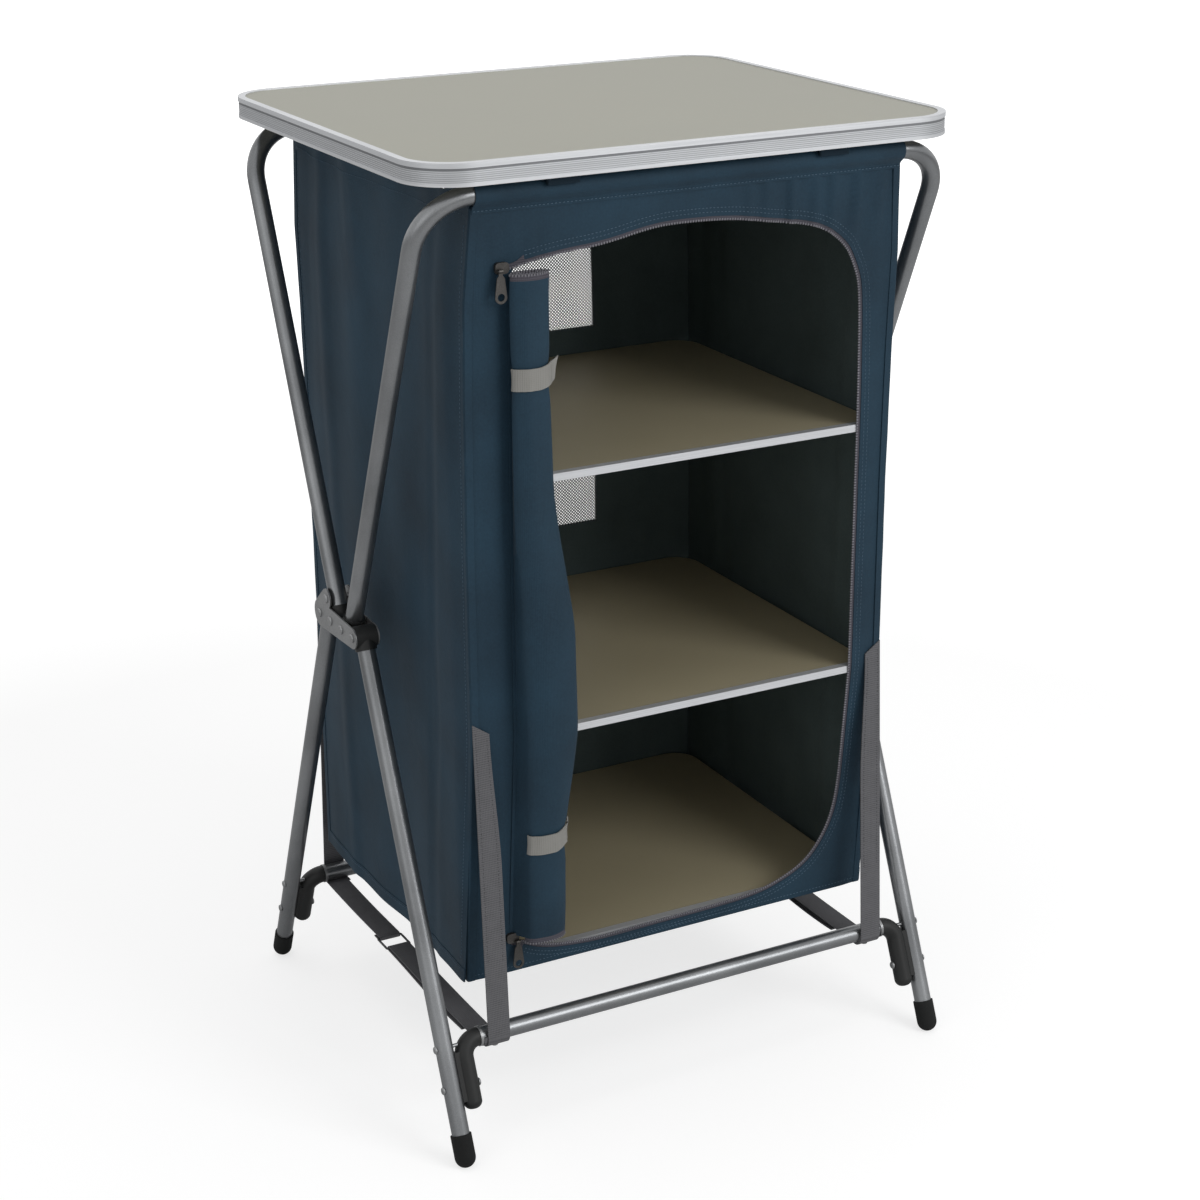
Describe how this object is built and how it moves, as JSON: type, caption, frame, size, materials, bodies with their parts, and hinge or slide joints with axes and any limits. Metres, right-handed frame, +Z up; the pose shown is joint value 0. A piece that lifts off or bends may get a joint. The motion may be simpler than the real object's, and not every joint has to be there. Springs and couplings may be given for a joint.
{
  "type": "camping kitchen unit",
  "caption": "Folding tube frame with rivet-plate hubs that carries a table top and a hanging cloth cabinet with shelves, a zipped roll-up door, net windows and webbing ties.",
  "frame": {"origin": "on the floor, midway between the four feet", "axes": "+X along the front to the right as seen from the front, +Y from the door to the back wall, +Z up"},
  "size_m": [0.613, 0.5474, 1.04],
  "materials": {
    "cloth": "coated woven polyester, dark blue",
    "webbing": "grey woven webbing",
    "tie_tape": "light grey tape",
    "zip_tape": "grey zip tape with moulded teeth",
    "net": "dark open net",
    "zip_metal": "satin grey die casting",
    "buckle_metal": "black coated wire",
    "tube": "silver grey lacquered steel tube",
    "aluminium": "anodised extrusion, satin",
    "steel": "zinc plated",
    "black_plastic": "black moulded nylon",
    "foot_rubber": "black rubber",
    "table_laminate": "fibreboard with a grey-brown laminate",
    "shelf_board": "thin fibreboard, grey-brown"
  },
  "bodies": {
    "cabinet": {"left_wall": "cloth", "right_wall": "cloth", "floor_panel": "cloth", "shelf_ledges": "cloth", "front_upright_webs": "webbing", "rear_upright_webs": "webbing", "front_tension_webs": "webbing", "rear_tension_webs": "webbing", "tension_buckles": "buckle_metal"},
    "rear_frame": {"rear_upper_tube": "tube", "rear_sleeve": "cloth", "rear_upper_knuckles": "black_plastic", "hub_plates_left": "steel", "hub_plates_right": "steel", "hub_rivets": "steel", "front_leg_knuckles": "black_plastic", "front_leg_left": "tube", "front_leg_right": "tube", "front_crossbar": "tube", "front_bar_ferrules": "aluminium", "front_elbow_left": "black_plastic", "front_elbow_right": "black_plastic", "front_elbow_screws": "steel", "front_strap_screws": "steel", "front_feet": "foot_rubber"},
    "front_upper": {"front_upper_tube": "tube", "front_upper_knuckles": "black_plastic", "front_sleeve": "cloth"},
    "rear_lower": {"rear_leg_knuckles": "black_plastic", "rear_leg_left": "tube", "rear_leg_right": "tube", "rear_crossbar": "tube", "rear_bar_ferrules": "aluminium", "rear_elbow_left": "black_plastic", "rear_elbow_right": "black_plastic", "rear_elbow_screws": "steel", "rear_strap_screws": "steel", "rear_feet": "foot_rubber"},
    "front_wall": {"front_panel": "cloth", "zip_track": "zip_tape", "zip_slider_upper": "zip_metal", "zip_slider_lower": "zip_metal", "door_roll": "cloth", "door_ties": "tie_tape"},
    "back_wall": {"back_panel": "cloth", "net_upper": "net", "net_lower": "net"},
    "table": {"table_board": "table_laminate", "table_rim": "aluminium", "table_clips": "black_plastic", "clip_screws": "steel"},
    "upper_shelf": {"shelf_upper": "shelf_board", "shelf_upper_trim": "aluminium"},
    "middle_shelf": {"shelf_middle": "shelf_board", "shelf_middle_trim": "aluminium"},
    "bottom_shelf": {"shelf_bottom": "shelf_board", "shelf_bottom_trim": "aluminium"},
    "upper_pull": {"zip_pull_upper": "zip_metal"},
    "lower_pull": {"zip_pull_lower": "zip_metal"}
  },
  "joints": [
    {"name": "frame_fold", "type": "hinge", "parent": "cabinet", "child": "rear_frame", "pos_m": [0, 0, 0.5175], "axis": [1, 0, 0], "range_deg": [0, 20], "deforming": ["left_wall", "right_wall", "floor_panel", "shelf_ledges", "front_upright_webs", "rear_upright_webs", "front_tension_webs", "rear_tension_webs", "front_panel", "zip_track", "door_roll", "door_ties", "back_panel", "net_upper", "net_lower"]},
    {"name": "front_upper_fold", "type": "hinge", "parent": "rear_frame", "child": "front_upper", "pos_m": [0, -0.01475, 0.5175], "axis": [-1, 0, 0], "range_deg": [0, 40]},
    {"name": "rear_lower_fold", "type": "hinge", "parent": "rear_frame", "child": "rear_lower", "pos_m": [0, 0.04425, 0.5175], "axis": [-1, 0, 0], "range_deg": [0, 40]},
    {"name": "front_wall_hang", "type": "hinge", "parent": "front_upper", "child": "front_wall", "pos_m": [0, -0.2247, 1.005], "axis": [1, 0, 0], "range_deg": [0, 20]},
    {"name": "back_wall_hang", "type": "hinge", "parent": "rear_frame", "child": "back_wall", "pos_m": [0, 0.2247, 1.005], "axis": [-1, 0, 0], "range_deg": [0, 20]},
    {"name": "table_lift", "type": "slide", "parent": "cabinet", "child": "table", "axis": [0, 0, 1], "range_m": [0, 0.125]},
    {"name": "upper_shelf_slide", "type": "slide", "parent": "cabinet", "child": "upper_shelf", "axis": [0, -1, 0], "range_m": [0, 0.46]},
    {"name": "middle_shelf_slide", "type": "slide", "parent": "cabinet", "child": "middle_shelf", "axis": [0, -1, 0], "range_m": [0, 0.46]},
    {"name": "bottom_shelf_tip", "type": "hinge", "parent": "front_wall", "child": "bottom_shelf", "pos_m": [0, -0.18103, 0.18], "axis": [1, 0, 0], "range_deg": [0, 90]},
    {"name": "upper_pull_swing", "type": "hinge", "parent": "front_wall", "child": "upper_pull", "pos_m": [-0.211, -0.22652, 0.9305], "axis": [-1, 0, 0], "range_deg": [0, 150]},
    {"name": "lower_pull_swing", "type": "hinge", "parent": "front_wall", "child": "lower_pull", "pos_m": [-0.1915, -0.19335, 0.204], "axis": [-1, 0, 0], "range_deg": [0, 100]}
  ],
  "couplings": [
    {"joint": "front_upper_fold", "follows": "frame_fold", "ratio": 2},
    {"joint": "rear_lower_fold", "follows": "frame_fold", "ratio": 2},
    {"joint": "front_wall_hang", "follows": "frame_fold", "ratio": 1},
    {"joint": "back_wall_hang", "follows": "frame_fold", "ratio": 1},
    {"joint": "table_lift", "follows": "frame_fold", "m_per_rad": 0.35},
    {"joint": "upper_shelf_slide", "follows": "frame_fold", "m_per_rad": 1.29},
    {"joint": "middle_shelf_slide", "follows": "frame_fold", "m_per_rad": 1.29},
    {"joint": "bottom_shelf_tip", "follows": "frame_fold", "ratio": 4.5}
  ]
}
